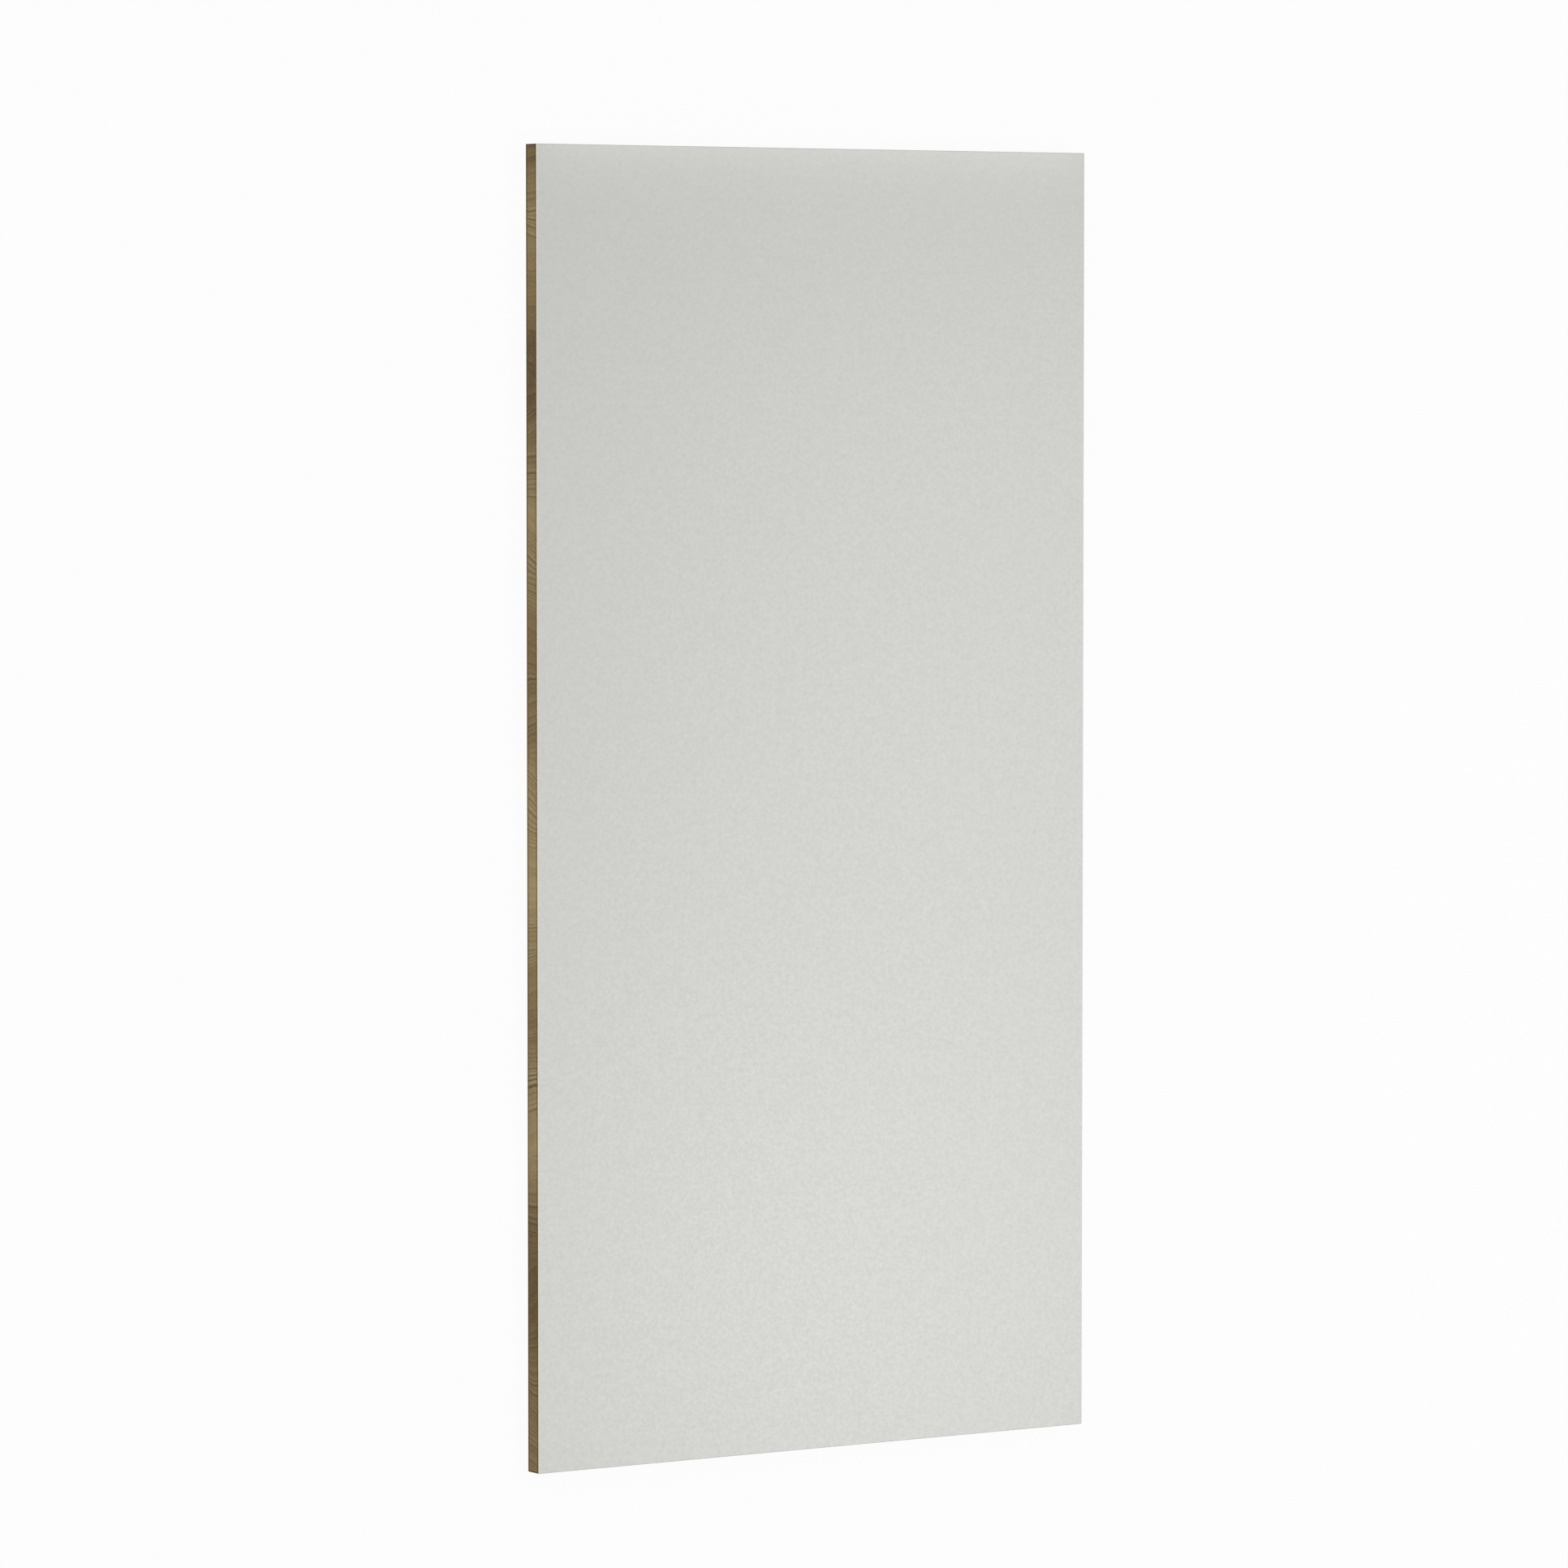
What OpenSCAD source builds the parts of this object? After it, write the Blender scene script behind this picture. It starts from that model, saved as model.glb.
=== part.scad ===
// Full decorative laminate sheet, bonded to its wood core and trimmed flush all round.
// It lies flat on its back with the decorative face up.
// Origin: centre of the back face. +X runs across the width, +Y along the length, +Z out of the face.
// All sizes are in millimetres.

/* [Sheet] */
// Width across the short side, 4 ft
sheet_w = 1219.2; // [300:0.1:1830]
// Length along the long side, 8 ft
sheet_l = 2438.4; // [300:0.1:3660]

/* [Wood core] */
// Thickness of the wood core
core_t = 37; // [6:0.5:50]
// Leg of the small flat that sanding leaves along the core's back arrises
core_arris = 0.5; // [0.1:0.1:2]

/* [Laminate] */
// Thickness of the decorative laminate
laminate_t = 1; // [0.6:0.1:2]
// Leg of the bevel that the edge trimmer leaves round the decorative face
trim_bevel = 0.8; // [0.1:0.1:1.5]

/* [Hidden] */

// Height of the bond line, where the laminate seats on the core
bond_z = core_t;
// Leg of the bevel as cut: the trimmer always leaves a sliver of square edge under it
bevel_leg = min(trim_bevel, 0.95 * laminate_t);

wood_colour = "#796849";
laminate_colour = "#d3d4cf";

// Section through a plate that stands on Z = 0, with both upper arrises cut back by the leg ease
module eased_section(span, thickness, ease) {
    half = span / 2;
    polygon([
        [-half, 0],
        [half, 0],
        [half, thickness - ease],
        [half - ease, thickness],
        [-half + ease, thickness],
        [-half, thickness - ease]
    ]);
}

// Flat plate on Z = 0 with all four upper arrises eased and mitred at the corners
module eased_plate(width, length, thickness, ease) {
    intersection() {
        rotate([90, 0, 0])
            linear_extrude(height = length, center = true)
                eased_section(width, thickness, ease);
        rotate([90, 0, 90])
            linear_extrude(height = width, center = true)
                eased_section(length, thickness, ease);
    }
}

// Solid wood core, turned over so that its sanded arrises are at the back
module wood_core() {
    color(wood_colour)
        translate([0, 0, core_t])
            mirror([0, 0, 1])
                eased_plate(sheet_w, sheet_l, core_t, core_arris);
}

// Decorative laminate, pressed on the core and flush with its edges
module face_laminate() {
    color(laminate_colour)
        translate([0, 0, bond_z])
            eased_plate(sheet_w, sheet_l, laminate_t, bevel_leg);
}

wood_core();
face_laminate();
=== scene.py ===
"""Decorative laminate sheet that lies flat, with its pale face up and its wood core bare at the edges."""

from __future__ import annotations

import logging
import math
from collections.abc import Mapping, Sequence
from dataclasses import dataclass
from enum import Enum

import bmesh
import bpy
from mathutils import Matrix, Vector

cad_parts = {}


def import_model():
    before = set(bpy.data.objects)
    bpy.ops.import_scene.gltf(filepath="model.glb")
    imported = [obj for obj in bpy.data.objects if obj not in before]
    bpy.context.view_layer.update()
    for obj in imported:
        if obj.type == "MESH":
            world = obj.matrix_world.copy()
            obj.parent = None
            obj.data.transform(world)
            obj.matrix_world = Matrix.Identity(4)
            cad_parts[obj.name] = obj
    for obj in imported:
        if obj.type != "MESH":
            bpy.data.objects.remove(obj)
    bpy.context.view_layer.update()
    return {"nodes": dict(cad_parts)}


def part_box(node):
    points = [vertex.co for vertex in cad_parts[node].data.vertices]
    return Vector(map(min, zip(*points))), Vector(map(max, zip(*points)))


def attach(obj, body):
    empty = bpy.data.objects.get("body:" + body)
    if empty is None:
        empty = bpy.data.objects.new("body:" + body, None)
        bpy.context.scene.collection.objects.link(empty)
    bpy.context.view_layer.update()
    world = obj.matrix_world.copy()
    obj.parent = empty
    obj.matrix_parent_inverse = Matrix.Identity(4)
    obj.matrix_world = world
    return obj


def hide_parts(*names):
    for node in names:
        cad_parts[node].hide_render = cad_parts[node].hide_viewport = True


LOG = logging.getLogger("laminate_sheet")
BODY = "root"
MM = 0.001
FULL_PART = 255
NOISE_MIDDLE = 0.5
Course = tuple[tuple[float, float], ...]


class Axis(Enum):
    """The three directions of the sheet, as indices of a vector."""

    WIDTH = 0
    LENGTH = 1
    THICKNESS = 2


class Place(Enum):
    """Where a node tree reads the place that it works on: the node's type and its output."""

    MATERIAL = ("ShaderNodeTexCoord", "Object")
    RELIEF = ("GeometryNodeInputPosition", "Position")


@dataclass(frozen=True)
class Colour:
    """A colour as it is seen on a screen, each part from 0 to 255."""

    red: float
    green: float
    blue: float

    def linear(self) -> tuple[float, float, float, float]:
        """The same colour as the linear, opaque colour that a shader takes."""
        opaque = 1.0
        return (*(self._to_linear(part / FULL_PART) for part in (self.red, self.green, self.blue)), opaque)

    @staticmethod
    def _to_linear(part: float) -> float:
        """Undo the sRGB curve of a screen.

        Args:
            part: Red, green or blue as a screen takes it, from 0 to 1.

        Returns:
            The same part as a linear one.
        """
        toe_end, toe_slope, lift, power = 0.04045, 12.92, 0.055, 2.4
        if part <= toe_end:
            return part / toe_slope
        return ((part + lift) / (1 + lift)) ** power


@dataclass(frozen=True)
class Lumps:
    """Soft noise: how many lumps there are to a metre along each direction, and their full height."""

    per_metre: tuple[float, float, float]
    height: float
    detail: float = 2.0


class Value:
    """The output of a node, with arithmetic that adds Math nodes."""

    def __init__(self, graph: Graph, socket: bpy.types.NodeSocket) -> None:
        """Hold an output and the graph that it belongs to."""
        self.graph = graph
        self.socket = socket

    def __add__(self, other: Value | float) -> Value:
        """This value plus another."""
        return self.graph.maths("ADD", self, other)

    def __radd__(self, other: float) -> Value:
        """A number plus this value."""
        return self.graph.maths("ADD", other, self)

    def __sub__(self, other: Value | float) -> Value:
        """This value less another."""
        return self.graph.maths("SUBTRACT", self, other)

    def __rsub__(self, other: float) -> Value:
        """A number less this value."""
        return self.graph.maths("SUBTRACT", other, self)

    def __mul__(self, other: Value | float) -> Value:
        """This value times another."""
        return self.graph.maths("MULTIPLY", self, other)

    def __rmul__(self, other: float) -> Value:
        """A number times this value."""
        return self.graph.maths("MULTIPLY", other, self)

    def __truediv__(self, other: Value | float) -> Value:
        """This value divided by another."""
        return self.graph.maths("DIVIDE", self, other)


class Graph:
    """A node tree that expressions fill."""

    def __init__(self, tree: bpy.types.NodeTree) -> None:
        """Start with an empty tree."""
        self.tree = tree
        self.tree.nodes.clear()

    def node(
        self,
        kind: str,
        settings: Mapping[str, object] | None = None,
        sockets: Mapping[str | int, object] | None = None,
        output: str | int = 0,
    ) -> Value:
        """Add one node, set it up and feed it.

        Args:
            kind: The node's type.
            settings: What the node is set to, with a colour ramp's stops as pairs of place and
                colour, and a curve's points as pairs of place and height.
            sockets: What its inputs take, by name or index: a plain value, or a Value to link.
            output: The output that is wanted, by name or index.

        Returns:
            The wanted output.
        """
        made = self.tree.nodes.new(kind)
        for name, setting in (settings or {}).items():
            if name == "stops":
                self._set_stops(made.color_ramp, setting)
            elif name == "points":
                self._set_points(made.mapping, setting)
            else:
                setattr(made, name, setting)
        for name, given in (sockets or {}).items():
            if isinstance(given, Value):
                self.tree.links.new(given.socket, made.inputs[name])
            else:
                made.inputs[name].default_value = given
        return Value(self, made.outputs[output])

    def end(self, kind: str, socket: str, given: Value) -> None:
        """Feed the node that ends the tree."""
        last = self.tree.nodes.new(kind)
        self.tree.links.new(given.socket, last.inputs[socket])

    @staticmethod
    def _set_stops(ramp: bpy.types.ColorRamp, stops: Sequence[tuple[float, Sequence[float]]]) -> None:
        """Give a new colour ramp its stops.

        Args:
            ramp: The ramp of a new node.
            stops: Pairs of place and colour, from left to right.
        """
        right_end = 1.0
        while len(ramp.elements) < len(stops):
            ramp.elements.new(right_end)
        for element, (place, colour) in zip(ramp.elements, stops):
            element.position = place
            element.color = colour

    @staticmethod
    def _set_points(mapping: bpy.types.CurveMapping, points: Sequence[tuple[float, float]]) -> None:
        """Give a new curve its points.

        Args:
            mapping: The curve of a new node.
            points: Pairs of place and height, from left to right, with heights from -1 to 1.
        """
        right_end, lowest = 1.0, -1.0
        mapping.clip_min_y = lowest
        curve = mapping.curves[0]
        while len(curve.points) < len(points):
            curve.points.new(right_end, 0.0)
        for point, place in zip(curve.points, points):
            point.location = place
        mapping.update()

    def maths(self, operation: str, *operands: Value | float) -> Value:
        """One Math node on values and numbers."""
        return self.node("ShaderNodeMath", {"operation": operation}, dict(enumerate(operands)))

    def step(self, value: Value, start: float, end: float) -> Value:
        """A smooth step from 0 to 1 as a value goes from start to end."""
        sockets = {"Value": value, "From Min": start, "From Max": end}
        return self.node("ShaderNodeMapRange", {"interpolation_type": "SMOOTHSTEP"}, sockets)

    def part(self, point: Value, axis: Axis) -> Value:
        """One part of a point."""
        return self.node("ShaderNodeSeparateXYZ", None, {0: point}, axis.value)

    def lumps(self, point: Value, lumps: Lumps) -> Value:
        """Add soft noise in space.

        Args:
            point: The place that is asked about.
            lumps: How fine and how high the noise is.

        Returns:
            The noise there, about as much above 0 as below it.
        """
        scaled = self.node(
            "ShaderNodeVectorMath", {"operation": "MULTIPLY"}, {0: point, 1: lumps.per_metre}
        )
        sockets = {"Vector": scaled, "Scale": 1.0, "Detail": lumps.detail}
        noise = self.node("ShaderNodeTexNoise", None, sockets)
        return (noise - NOISE_MIDDLE) * lumps.height

    def swing(self, place: Value, per_metre: float, height: float) -> Value:
        """Add soft noise along a line.

        Args:
            place: The distance along the line.
            per_metre: How many swings there are to a metre.
            height: The full height of the swings.

        Returns:
            The noise there, about as much above 0 as below it.
        """
        sockets = {"W": place, "Scale": per_metre, "Detail": 1.0}
        noise = self.node("ShaderNodeTexNoise", {"noise_dimensions": "1D"}, sockets)
        return (noise - NOISE_MIDDLE) * height

    def mix(self, share: Value | float, first: object, second: object) -> Value:
        """Two colours mixed by a share.

        Args:
            share: How much of the second colour shows.
            first: The first colour, plain or from a node.
            second: The second colour, plain or from a node.

        Returns:
            The mixed colour.
        """
        factor, colour_a, colour_b, colour_out = 0, 6, 7, 2
        sockets = {factor: share, colour_a: first, colour_b: second}
        return self.node("ShaderNodeMix", {"data_type": "RGBA"}, sockets, colour_out)


@dataclass(frozen=True)
class WoodFigure:
    """The growth rings of the core: its fibres run across the width, so the long edges show end grain.

    Each course follows the sheet from its head, at 0, to its foot, at 1. A lean says how far a ring line
    moves along the sheet as it crosses the thickness, a tone how pale the wood is, and a mark how strong
    the lines are. Painted light also pales the wood from its glued face to its back.
    """

    length: float
    head_y: float
    middle_z: float
    ring_pitch: float = 9 * MM
    rings_swung: float = 5.0
    swings_per_metre: float = 9.0
    bow_swing: float = 24.0
    bows_per_metre: float = 6.0
    wander: Lumps = Lumps((1.3, 2.5, 8.0), 24 * MM)
    ripple: Lumps = Lumps((6.0, 18.0, 40.0), 4 * MM)
    drift: Lumps = Lumps((0.8, 6.0, 14.0), 1.0)
    drift_shift: float = 40 * MM
    # Painted light that makes the wood paler towards its back.
    drift_tone: float = 0.3
    painted_light_to_back: float = 2.3
    line_start: float = 0.35
    line_full: float = 0.85
    line_end: float = 0.95
    faintest: float = 0.36
    leans: Course = (
        (0.0, 0.0), (0.05, 0.05), (0.065, 0.35), (0.08, 0.1), (0.15, 0.15), (0.165, 0.35), (0.2, -0.45),
        (0.225, -0.1), (0.26, 0.0), (0.3, 0.6), (0.325, 0.2), (0.38, 0.1), (0.405, -0.15), (0.44, -0.4),
        (0.46, 0.0), (0.485, 0.45), (0.52, 0.05), (0.6, -0.1), (0.62, -0.3), (0.69, -0.1), (0.72, -0.35),
        (0.78, -0.3), (0.82, 0.0), (0.86, -0.7), (0.9, -0.3), (0.935, 0.1), (0.96, 0.4), (1.0, 0.2),
    )
    tones: Course = (
        (0.0, 0.28), (0.01, 0.27), (0.02, 0.38), (0.04, 0.58), (0.06, 0.72), (0.09, 0.62), (0.13, 0.39),
        (0.17, 0.08), (0.205, 0.32), (0.24, 0.56), (0.28, 0.74), (0.35, 0.56), (0.39, 0.41), (0.43, 0.45),
        (0.5, 0.88), (0.57, 0.89), (0.61, 0.74), (0.645, 0.49), (0.68, 0.65), (0.715, 0.79), (0.755, 0.76),
        (0.79, 0.5), (0.83, 0.17), (0.865, 0.06), (0.9, 0.16), (0.94, 0.42), (1.0, 0.45),
    )
    marks: Course = (
        (0.0, 0.2), (0.03, 0.2), (0.045, 0.9), (0.065, 0.7), (0.085, 0.3), (0.15, 0.35), (0.162, 0.9),
        (0.18, 0.25), (0.2, 1.0), (0.212, 0.4), (0.24, 0.85), (0.26, 0.9), (0.275, 0.05), (0.29, 0.2),
        (0.315, 0.85), (0.34, 0.55), (0.36, 0.1), (0.385, 0.5), (0.405, 0.8), (0.425, 0.2), (0.44, 1.0),
        (0.46, 0.5), (0.5, 0.85), (0.525, 0.6), (0.55, 0.1), (0.58, 0.2), (0.6, 0.85), (0.63, 0.15),
        (0.66, 0.25), (0.685, 0.7), (0.715, 1.0), (0.735, 0.1), (0.785, 0.3), (0.815, 0.95), (0.84, 0.25),
        (0.88, 0.3), (0.9, 0.6), (0.92, 0.2), (0.937, 1.0), (0.947, 0.4), (0.955, 0.9), (0.962, 0.45),
        (0.97, 0.9), (0.978, 0.4), (0.986, 0.6), (1.0, 0.3),
    )

    def run(self, graph: Graph, point: Value) -> Value:
        """The distance from the head end."""
        return self.head_y - graph.part(point, Axis.LENGTH)

    def course(self, graph: Graph, run: Value, points: Course) -> Value:
        """What a course says at a distance from the head end."""
        return graph.node("ShaderNodeFloatCurve", {"points": points}, {"Value": run / self.length})

    def rings(self, graph: Graph, point: Value) -> Value:
        """Count the growth rings from the head end.

        Args:
            graph: The tree to add nodes to.
            point: The place on the core.

        Returns:
            The number of rings so far, whole at the dark end of each ring.
        """
        run = self.run(graph, point)
        depth = graph.part(point, Axis.THICKNESS) - self.middle_z
        lean = self.course(graph, run, self.leans)
        bow = graph.swing(run, self.bows_per_metre, self.bow_swing)
        across = run - lean * depth + bow * depth * depth
        across = across + graph.lumps(point, self.wander) + graph.lumps(point, self.ripple)
        return across / self.ring_pitch + graph.swing(across, self.swings_per_metre, self.rings_swung)

    def latewood(self, graph: Graph, point: Value, rings: Value) -> Value:
        """Draw the dark line at the end of each ring.

        Args:
            graph: The tree to add nodes to.
            point: The place on the core.
            rings: The number of rings up to there.

        Returns:
            How dark the line is, from 0 to 1: stronger in some rings and stretches than in others.
        """
        within = graph.maths("FRACT", rings)
        rise = graph.step(within, self.line_start, self.line_full)
        fall = 1.0 - graph.step(within, self.line_end, 1.0)
        drawn = self.draw(graph, rings)
        strength = self.faintest + (1.0 - self.faintest) * drawn * drawn
        return rise * fall * strength * self.course(graph, self.run(graph, point), self.marks)

    @staticmethod
    def draw(graph: Graph, rings: Value) -> Value:
        """A number from 0 to 1 that each ring draws for itself."""
        whole = graph.maths("FLOOR", rings)
        return graph.node("ShaderNodeTexWhiteNoise", {"noise_dimensions": "1D"}, {"W": whole}, "Value")

    def tone(self, graph: Graph, point: Value) -> Value:
        """Say how pale the wood is, with painted light that pales it towards its back.

        Args:
            graph: The tree to add nodes to.
            point: The place on the core.

        Returns:
            From 0 for the darkest heartwood to 1 for the palest.
        """
        drift = graph.lumps(point, self.drift)
        run = self.run(graph, point) + drift * self.drift_shift
        depth = graph.part(point, Axis.THICKNESS) - self.middle_z
        # Painted light: the wood is made paler towards its back.
        return self.course(graph, run, self.tones) + drift * self.drift_tone - depth * self.painted_light_to_back


@dataclass(frozen=True)
class SawnWood:
    """Bare, sanded wood: brown heartwood with darker ring lines and fine fibres.

    It carries painted shade along its back arrises and corners, and dark glue next to the laminate.
    """

    low: Vector
    high: Vector
    figure: WoodFigure
    dark: Colour = Colour(86, 68, 37)
    middle: Colour = Colour(126, 106, 69)
    pale: Colour = Colour(158, 141, 102)
    blush: Colour = Colour(140, 104, 75)
    blush_cover: float = 0.3
    blush_full: float = 0.3
    blushes: Lumps = Lumps((1.0, 36.0, 50.0), 1.0)
    ring_line: Colour = Colour(58, 40, 16)
    line_cover: float = 0.85
    line_height: float = 0.4
    line_gloss: float = 0.12
    half_ring: float = 0.5
    ring_tone: float = 0.22
    fibres: Lumps = Lumps((14.0, 420.0, 420.0), 0.8, 3.0)
    fibre_height: float = 2.0
    fibre_gloss: float = 0.16
    grain_bump: float = 0.35
    grain_depth: float = 0.15 * MM
    # Painted shade along the back arrises and corners, and the dark glue by the laminate, share this
    # colour.
    shade_and_glue: Colour = Colour(58, 45, 27)
    # How strong and how wide the painted shade is along the back arrises and down the corners.
    back_shade_cover: float = 0.66
    back_shade_reach: float = 6.4 * MM
    corner_shade_cover: float = 0.82
    corner_shade_reach: float = 3.5 * MM
    glue_cover: float = 0.55
    glue_reach: float = 6 * MM
    fully_dark: float = 0.6
    relief: float = 0.12 * MM
    flat_rim: float = 3 * MM
    roughness: float = 0.7
    shine: float = 0.25

    def near(self, graph: Graph, depth: Value, reach: float) -> Value:
        """1 close to an outer face of the core, and 0 from a reach inside it."""
        return 1.0 - graph.step(depth, reach * self.fully_dark, reach)

    def shade_and_glue_mask(self, graph: Graph, point: Value) -> Value:
        """Find the painted shade on the back arrises and corners, and the dark glue by the laminate.

        Args:
            graph: The tree to add nodes to.
            point: The place on the core.

        Returns:
            How much of the painted shade and the glue's dark colour covers the wood there.
        """
        depth_x = self.high.x - graph.maths("ABSOLUTE", graph.part(point, Axis.WIDTH))
        depth_y = self.high.y - graph.maths("ABSOLUTE", graph.part(point, Axis.LENGTH))
        height = graph.part(point, Axis.THICKNESS)
        from_rim = graph.maths("MINIMUM", depth_x, depth_y)
        from_corner = graph.maths("MAXIMUM", depth_x, depth_y)
        rim = self.near(graph, from_rim, self.back_shade_reach)
        # Painted shade along the back arrises.
        back = self.near(graph, height - self.low.z, self.back_shade_reach) * rim * self.back_shade_cover
        # Painted shade down the corners.
        corner = self.near(graph, from_corner, self.corner_shade_reach) * self.corner_shade_cover
        glue = self.near(graph, self.high.z - height, self.glue_reach) * self.glue_cover
        return graph.maths("MAXIMUM", graph.maths("MAXIMUM", back, corner), glue)

    def material(self) -> bpy.types.Material:
        """Make the material.

        Returns:
            A material that reads the core's own coordinates.
        """
        material = bpy.data.materials.new("sawn_wood")
        material.use_nodes = True
        graph = Graph(material.node_tree)
        kind, output = Place.MATERIAL.value
        point = graph.node(kind, output=output)
        rings = self.figure.rings(graph, point)
        late = self.figure.latewood(graph, point, rings)
        fibre = graph.lumps(point, self.fibres)
        own_tone = (self.figure.draw(graph, rings + self.half_ring) - NOISE_MIDDLE) * self.ring_tone
        tone = self.figure.tone(graph, point) + fibre + own_tone
        shades = [(0.0, self.dark.linear()), (0.5, self.middle.linear()), (1.0, self.pale.linear())]
        ground = graph.node("ShaderNodeValToRGB", {"stops": shades}, {"Fac": tone}, "Color")
        flush = graph.step(graph.lumps(point, self.blushes), 0.0, self.blush_full) * self.blush_cover
        ground = graph.mix(flush, ground, self.blush.linear())
        lined = graph.mix(late * self.line_cover, ground, self.ring_line.linear())
        grain = {
            "Strength": self.grain_bump,
            "Distance": self.grain_depth,
            "Height": fibre * self.fibre_height + late * self.line_height,
        }
        sockets = {
            # Painted shade and the dark glue laid over the wood.
            "Base Color": graph.mix(self.shade_and_glue_mask(graph, point), lined, self.shade_and_glue.linear()),
            "Roughness": self.roughness - late * self.line_gloss - fibre * self.fibre_gloss,
            "Specular IOR Level": self.shine,
            "Normal": graph.node("ShaderNodeBump", None, grain),
        }
        surface = graph.node("ShaderNodeBsdfPrincipled", None, sockets)
        graph.end("ShaderNodeOutputMaterial", "Surface", surface)
        return material

    def relief_tree(self) -> bpy.types.NodeTree:
        """Make the nodes that sand the soft wood a little lower than the ring lines.

        Returns:
            A node group for a Geometry Nodes modifier, which leaves the glued face flat.
        """
        tree = bpy.data.node_groups.new("sanded_relief", "GeometryNodeTree")
        for way in ("INPUT", "OUTPUT"):
            tree.interface.new_socket("Geometry", in_out=way, socket_type="NodeSocketGeometry")
        graph = Graph(tree)
        kind, output = Place.RELIEF.value
        point = graph.node(kind, output=output)
        late = self.figure.latewood(graph, point, self.figure.rings(graph, point))
        height = graph.part(point, Axis.THICKNESS)
        bare = 1.0 - graph.step(height, self.high.z - self.flat_rim, self.high.z)
        inward = (late - 1.0) * bare * self.relief
        moved = {"Vector": graph.node("GeometryNodeInputNormal"), "Scale": inward}
        offset = graph.node("ShaderNodeVectorMath", {"operation": "SCALE"}, moved)
        shape = {"Geometry": graph.node("NodeGroupInput"), "Offset": offset}
        graph.end("NodeGroupOutput", "Geometry", graph.node("GeometryNodeSetPosition", None, shape))
        return tree


@dataclass(frozen=True)
class Rows:
    """Where one side of the core lies on the square picture that its colours are baked to.

    The side is cut along its length into rows of the same height, which lie over one another.
    """

    along: Axis
    across: Axis
    count: int
    start: float
    height: float
    gap: float = 0.006

    def place(self, share: Vector, middle: Vector) -> tuple[float, float]:
        """Find a corner's place on the picture.

        Args:
            share: Where the corner is in the core's box, each part from 0 to 1.
            middle: Where the middle of its face is, which decides the row.

        Returns:
            The place, from 0 to 1 across and up.
        """
        row = min(int(middle[self.along.value] * self.count), self.count - 1)
        across = self.gap + (share[self.along.value] * self.count - row) * (1 - 2 * self.gap)
        up = self.start + row * (self.height + self.gap) + share[self.across.value] * self.height
        return across, up


class Side(Enum):
    """The sides of the core, with the most room on the baked picture for the bare edges."""

    LEFT = Rows(Axis.LENGTH, Axis.THICKNESS, count=4, start=0.004, height=0.06)
    RIGHT = Rows(Axis.LENGTH, Axis.THICKNESS, count=4, start=0.268, height=0.06)
    HEAD = Rows(Axis.WIDTH, Axis.THICKNESS, count=2, start=0.532, height=0.06)
    FOOT = Rows(Axis.WIDTH, Axis.THICKNESS, count=2, start=0.664, height=0.06)
    BACK = Rows(Axis.LENGTH, Axis.WIDTH, count=1, start=0.796, height=0.166)
    GLUED = Rows(Axis.LENGTH, Axis.WIDTH, count=1, start=0.968, height=0.026)

    @classmethod
    def facing(cls, normal: Vector) -> Side:
        """Find the side that a face belongs to, with the arrises on the edges.

        Args:
            normal: The way that the face looks.

        Returns:
            The side.
        """
        nearly_level = 0.9
        if abs(normal.z) > nearly_level:
            return cls.GLUED if normal.z > 0 else cls.BACK
        if abs(normal.x) > abs(normal.y):
            return cls.RIGHT if normal.x > 0 else cls.LEFT
        return cls.HEAD if normal.y > 0 else cls.FOOT


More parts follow.
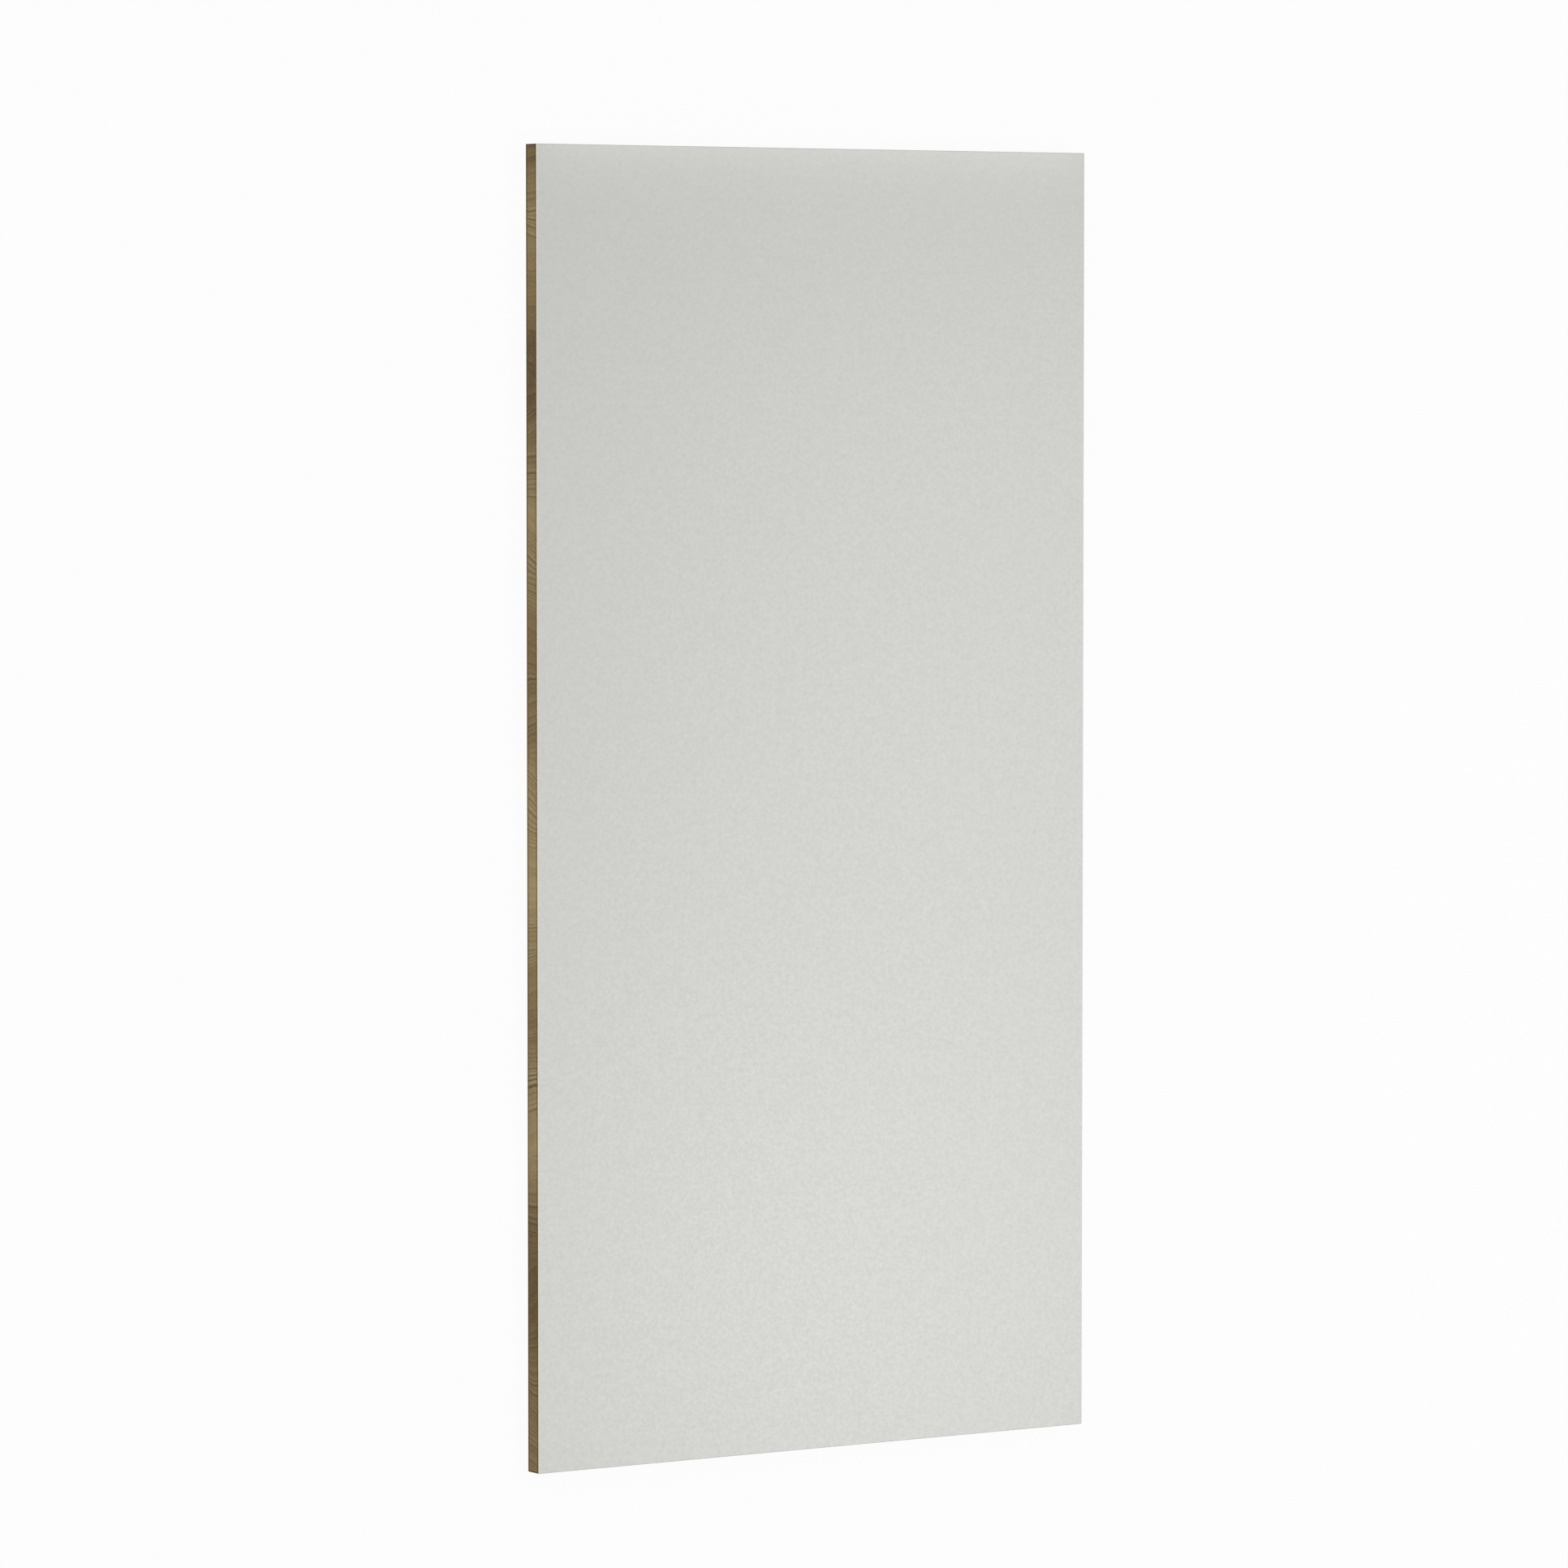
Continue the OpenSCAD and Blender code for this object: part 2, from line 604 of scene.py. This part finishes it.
@dataclass
class SawnCore:
    """The wood core, with sanded arrises at the back and the grain's relief on its bare faces."""

    low: Vector
    high: Vector
    node: str
    slot: str = "wood"
    layout: str = "OFBake"
    arris: float = 0.5 * MM
    pitch_across: float = 100 * MM
    pitch_along: float = 1.6 * MM
    pitch_through: float = 3 * MM
    sharp_angle: float = math.radians(30)

    def finish(self) -> SawnWood:
        """Choose the wood that the core is sawn from.

        Returns:
            The wood, with its rings set to the core's own place and length.
        """
        length = self.high.y - self.low.y
        middle_z = (self.low.z + self.high.z) / 2
        figure = WoodFigure(length=length, head_y=self.high.y, middle_z=middle_z)
        return SawnWood(self.low, self.high, figure)

    def build(self) -> bpy.types.Object:
        """Model the core.

        Returns:
            The core as a mesh that is fine enough for the grain's relief.
        """
        shape = bmesh.new()
        bmesh.ops.create_cube(shape, size=1.0)
        bmesh.ops.scale(shape, vec=self.high - self.low, verts=shape.verts)
        bmesh.ops.translate(shape, vec=(self.low + self.high) / 2, verts=shape.verts)
        back_edges = [e for e in shape.edges if all(v.co.z < self.low.z + self.arris for v in e.verts)]
        bmesh.ops.bevel(
            shape,
            geom=back_edges,
            offset=self.arris,
            segments=1,
            profile=0.5,
            affect="EDGES",
            material=-1,
        )
        self._divide(shape, Axis.WIDTH, self.pitch_across)
        self._divide(shape, Axis.THICKNESS, self.pitch_through)
        self._divide(shape, Axis.LENGTH, self.pitch_along)
        self._unwrap(shape)
        for face in shape.faces:
            face.smooth = True
        for edge in shape.edges:
            edge.smooth = edge.calc_face_angle(0.0) < self.sharp_angle
        mesh = bpy.data.meshes.new("sawn_core")
        shape.to_mesh(mesh)
        shape.free()
        core = bpy.data.objects.new("sawn_core", mesh)
        bpy.context.scene.collection.objects.link(core)
        return core

    def _divide(self, shape: bmesh.types.BMesh, axis: Axis, pitch: float) -> None:
        """Cut the core into rows.

        Args:
            shape: The core so far.
            axis: The direction in which the rows follow one another.
            pitch: The width of a row.
        """
        rows = round((self.high - self.low)[axis.value] / pitch)
        edges = []
        for edge in shape.edges:
            run = edge.verts[1].co - edge.verts[0].co
            if abs(run[axis.value]) > pitch:
                edges.append(edge)
        bmesh.ops.subdivide_edges(shape, edges=edges, cuts=rows - 1, use_grid_fill=True)

    def _unwrap(self, shape: bmesh.types.BMesh) -> None:
        """Lay the core's faces out for the baked picture.

        Args:
            shape: The finished core.
        """
        shape.normal_update()
        layout = shape.loops.layers.uv.new(self.layout)
        size = self.high - self.low
        for face in shape.faces:
            rows = Side.facing(face.normal).value
            middle = self._share(face.calc_center_median(), size)
            for loop in face.loops:
                loop[layout].uv = rows.place(self._share(loop.vert.co, size), middle)

    def _share(self, place: Vector, size: Vector) -> Vector:
        """A place in the core's box, each part from 0 to 1."""
        return Vector((place - self.low)[axis.value] / size[axis.value] for axis in Axis)

    def dress(self, core: bpy.types.Object) -> None:
        """Sand the grain into the core, give it its wood and let it stand for the CAD node.

        Args:
            core: The core's mesh object.
        """
        finish = self.finish()
        modifier = core.modifiers.new("sanded_relief", "NODES")
        modifier.node_group = finish.relief_tree()
        view = bpy.context.evaluated_depsgraph_get()
        sanded = bpy.data.meshes.new_from_object(core.evaluated_get(view))
        core.modifiers.clear()
        core.data = sanded
        sanded.materials.append(finish.material())
        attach(core, BODY)
        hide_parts(self.node)


@dataclass(frozen=True)
class SuedeLaminate:
    """Pale grey laminate with a fine matt texture under a clear overlay.

    The overlay is strongest on the texture's heights. The cut is cream with a painted highlight along
    the long edges, and painted shade makes it duller at the ends.
    """

    high: Vector
    face: Colour = Colour(211, 212, 206)
    # The long edges' cut: cream, brightened by a painted highlight.
    cream_cut_and_highlight: Colour = Colour(252, 238, 198)
    # The ends' cut: a duller grey of painted shade.
    cut_end_shade: Colour = Colour(186, 187, 183)
    cut_depth: float = 0.1 * MM
    cut_width: float = 1 * MM
    pebbles: Lumps = Lumps((140.0, 140.0, 140.0), 1.0)
    clouds: Lumps = Lumps((9.0, 9.0, 9.0), 1.0, 3.0)
    pebble_tint: float = 0.04
    cloud_tint: float = 0.012
    texture_bump: float = 0.6
    texture_depth: float = 0.3 * MM
    roughness: float = 0.32
    cut_roughness: float = 0.3
    shine: float = 0.25
    overlay: float = 0.5
    overlay_swing: float = 0.9

    def material(self) -> bpy.types.Material:
        """Make the material.

        Returns:
            A material that reads the laminate's own coordinates.
        """
        material = bpy.data.materials.new("suede_laminate")
        material.use_nodes = True
        graph = Graph(material.node_tree)
        kind, output = Place.MATERIAL.value
        point = graph.node(kind, output=output)
        pebble = graph.lumps(point, self.pebbles)
        bright = 1.0 + pebble * self.pebble_tint + graph.lumps(point, self.clouds) * self.cloud_tint
        tinted = {"Vector": self.face.linear()[:3], "Scale": bright}
        ground = graph.node("ShaderNodeVectorMath", {"operation": "SCALE"}, tinted)
        height = graph.part(point, Axis.THICKNESS)
        cut = 1.0 - graph.step(height, self.high.z - self.cut_depth, self.high.z)
        out = graph.maths("ABSOLUTE", graph.part(point, Axis.WIDTH)) - self.high.x
        long_edge = graph.step(out, -self.cut_width - self.cut_depth, -self.cut_width)
        # Painted highlight on the long edges' cut, and painted shade on the ends' cut.
        cut_highlight_and_shade = graph.mix(long_edge, self.cut_end_shade.linear(), self.cream_cut_and_highlight.linear())
        texture = {"Strength": self.texture_bump, "Distance": self.texture_depth, "Height": pebble}
        sockets = {
            "Base Color": graph.mix(cut, ground, cut_highlight_and_shade),
            "Roughness": self.roughness + cut * self.cut_roughness,
            "Specular IOR Level": self.shine,
            "Coat Weight": (self.overlay + pebble * self.overlay_swing) * (1.0 - cut),
            "Coat Roughness": self.roughness,
            "Normal": graph.node("ShaderNodeBump", None, texture),
        }
        surface = graph.node("ShaderNodeBsdfPrincipled", None, sockets)
        graph.end("ShaderNodeOutputMaterial", "Surface", surface)
        return material


@dataclass
class FaceLaminate:
    """The decorative laminate, which keeps the shape of its CAD node."""

    piece: bpy.types.Object
    high: Vector

    def dress(self) -> None:
        """Give the laminate its finish."""
        material = SuedeLaminate(self.high).material()
        for slot in self.piece.material_slots:
            slot.material = material


@dataclass(frozen=True)
class Lamp:
    """A soft box that the camera doesn't see. Its width lies level."""

    name: str
    place: tuple[float, float, float]
    aim: tuple[float, float, float]
    width: float
    height: float
    watts: float

    def hang(self) -> None:
        """Put the lamp in the scene."""
        light = bpy.data.lights.new(self.name, "AREA")
        light.shape = "RECTANGLE"
        light.size = self.width
        light.size_y = self.height
        light.energy = self.watts
        lamp = bpy.data.objects.new(self.name, light)
        lamp.location = self.place
        way = Vector(self.aim) - Vector(self.place)
        lamp.rotation_euler = way.to_track_quat("-Z", "Y").to_euler()
        lamp.visible_camera = False
        bpy.context.scene.collection.objects.link(lamp)


@dataclass(frozen=True)
class Viewpoint:
    """A camera that looks down on the sheet from its left, with the head end up in the picture."""

    aim_z: float
    aim_x: float = -0.0729
    aim_y: float = 0.035
    distance: float = 14.239
    turned_left: float = math.radians(32.86)
    raised_to_head: float = math.radians(3.2)
    lens: float = 175.06
    sensor: float = 36.0
    farthest: float = 200.0

    def place(self) -> None:
        """Make the scene's camera."""
        level = math.cos(self.raised_to_head)
        back = Vector(
            (
                -math.sin(self.turned_left) * level,
                math.sin(self.raised_to_head),
                math.cos(self.turned_left) * level,
            )
        )
        head_way = Vector((0.0, 1.0, 0.0))
        right = head_way.cross(back).normalized()
        turn = Matrix((right, back.cross(right), back)).transposed().to_4x4()
        optics = bpy.data.cameras.new("camera")
        optics.lens = self.lens
        optics.sensor_width = self.sensor
        optics.clip_end = self.farthest
        camera = bpy.data.objects.new("camera", optics)
        aim = Vector((self.aim_x, self.aim_y, self.aim_z))
        camera.matrix_world = Matrix.Translation(aim + back * self.distance) @ turn
        bpy.context.scene.collection.objects.link(camera)
        bpy.context.scene.camera = camera


@dataclass
class Studio:
    """A white floor, soft light from all round, and a few soft boxes."""

    high: Vector
    strip_behind: float = 30 * MM
    strip_above: float = 50 * MM
    strip_inward: float = 70 * MM
    strip_height: float = 10 * MM
    floor_radius: float = 80.0
    floor_sides: int = 96
    sky: float = 0.505
    sky_shown: float = 1.0
    floor_white: float = 0.8
    floor_glow: float = 1.0
    floor_shadow: float = 0.05

    def lamps(self) -> tuple[Lamp, ...]:
        """Choose the lamps that stand round the sheet.

        Returns:
            Two soft boxes on the right, a fill on the left and a thin strip along the head end.
        """
        middle = (0.0, 0.0, 0.0)
        head = (0.0, self.high.y + self.strip_behind, self.high.z + self.strip_above)
        head_aim = (0.0, self.high.y - self.strip_inward, self.high.z)
        width = self.high.x * 2
        return (
            Lamp("key", (3.4, -0.4, 5.0), (0.2, -0.1, 0.0), width=3.3, height=1.7, watts=82.0),
            Lamp("high_key", (4.3, -2.4, 6.9), middle, width=1.5, height=1.5, watts=62.0),
            Lamp("side_fill", (-5.0, 0.0, 0.7), middle, width=4.0, height=1.0, watts=85.0),
            Lamp("head_strip", head, head_aim, width=width, height=self.strip_height, watts=0.074),
        )

    def build(self) -> None:
        """Make the floor, the lamps, the sky and the camera."""
        self._lay_floor()
        self._light_sky()
        for lamp in self.lamps():
            lamp.hang()
        Viewpoint(aim_z=self.high.z).place()
        bpy.context.scene.view_settings.view_transform = "Standard"

    @staticmethod
    def _seen_directly(graph: Graph) -> Value:
        """Tell the rays that see a surface from those that only light the sheet.

        Args:
            graph: The tree to add nodes to.

        Returns:
            1 for rays that come from the camera, a mirror or glass, and 0 for the rest.
        """
        kinds = ("Is Camera Ray", "Is Glossy Ray", "Is Transmission Ray")
        camera, mirror, glass = (graph.node("ShaderNodeLightPath", output=kind) for kind in kinds)
        return graph.maths("MAXIMUM", graph.maths("MAXIMUM", camera, mirror), glass)

    def _lay_floor(self) -> None:
        """Lay a round white floor that keeps the sheet's shadow."""
        shape = bmesh.new()
        bmesh.ops.create_circle(shape, cap_ends=True, segments=self.floor_sides, radius=self.floor_radius)
        mesh = bpy.data.meshes.new("floor")
        shape.to_mesh(mesh)
        shape.free()
        floor = bpy.data.objects.new("floor", mesh)
        bpy.context.scene.collection.objects.link(floor)
        material = bpy.data.materials.new("white_floor")
        material.use_nodes = True
        graph = Graph(material.node_tree)
        white = (self.floor_white, self.floor_white, self.floor_white, 1.0)
        matt = graph.node("ShaderNodeBsdfDiffuse", None, {"Color": white})
        glow = graph.node("ShaderNodeEmission", None, {"Strength": self.floor_glow})
        share = self._seen_directly(graph) * (1.0 - self.floor_shadow)
        both = graph.node("ShaderNodeMixShader", None, {0: share, 1: matt, 2: glow})
        graph.end("ShaderNodeOutputMaterial", "Surface", both)
        mesh.materials.append(material)

    def _light_sky(self) -> None:
        """Surround the sheet with even light, from a sky that looks white."""
        world = bpy.data.worlds.new("sky")
        world.use_nodes = True
        graph = Graph(world.node_tree)
        white = (1.0, 1.0, 1.0, 1.0)
        light = graph.node("ShaderNodeBackground", None, {"Color": white, "Strength": self.sky})
        shown = graph.node("ShaderNodeBackground", None, {"Color": white, "Strength": self.sky_shown})
        share = self._seen_directly(graph)
        both = graph.node("ShaderNodeMixShader", None, {0: share, 1: light, 2: shown})
        graph.end("ShaderNodeOutputWorld", "Surface", both)
        bpy.context.scene.world = world


def main() -> None:
    """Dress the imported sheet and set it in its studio."""
    logging.basicConfig(level=logging.INFO, format="%(message)s")
    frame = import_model()
    core = SawnCore(*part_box("wood_core"), node="wood_core")
    core_piece = core.build()
    core.dress(core_piece)
    _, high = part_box("face_laminate")
    laminate = FaceLaminate(frame["nodes"]["face_laminate"], high)
    laminate.dress()
    Studio(high).build()
    for piece in (core_piece, laminate.piece):
        LOG.info("%s: %d faces", piece.name, len(piece.data.polygons))


if __name__ == "__main__":
    main()
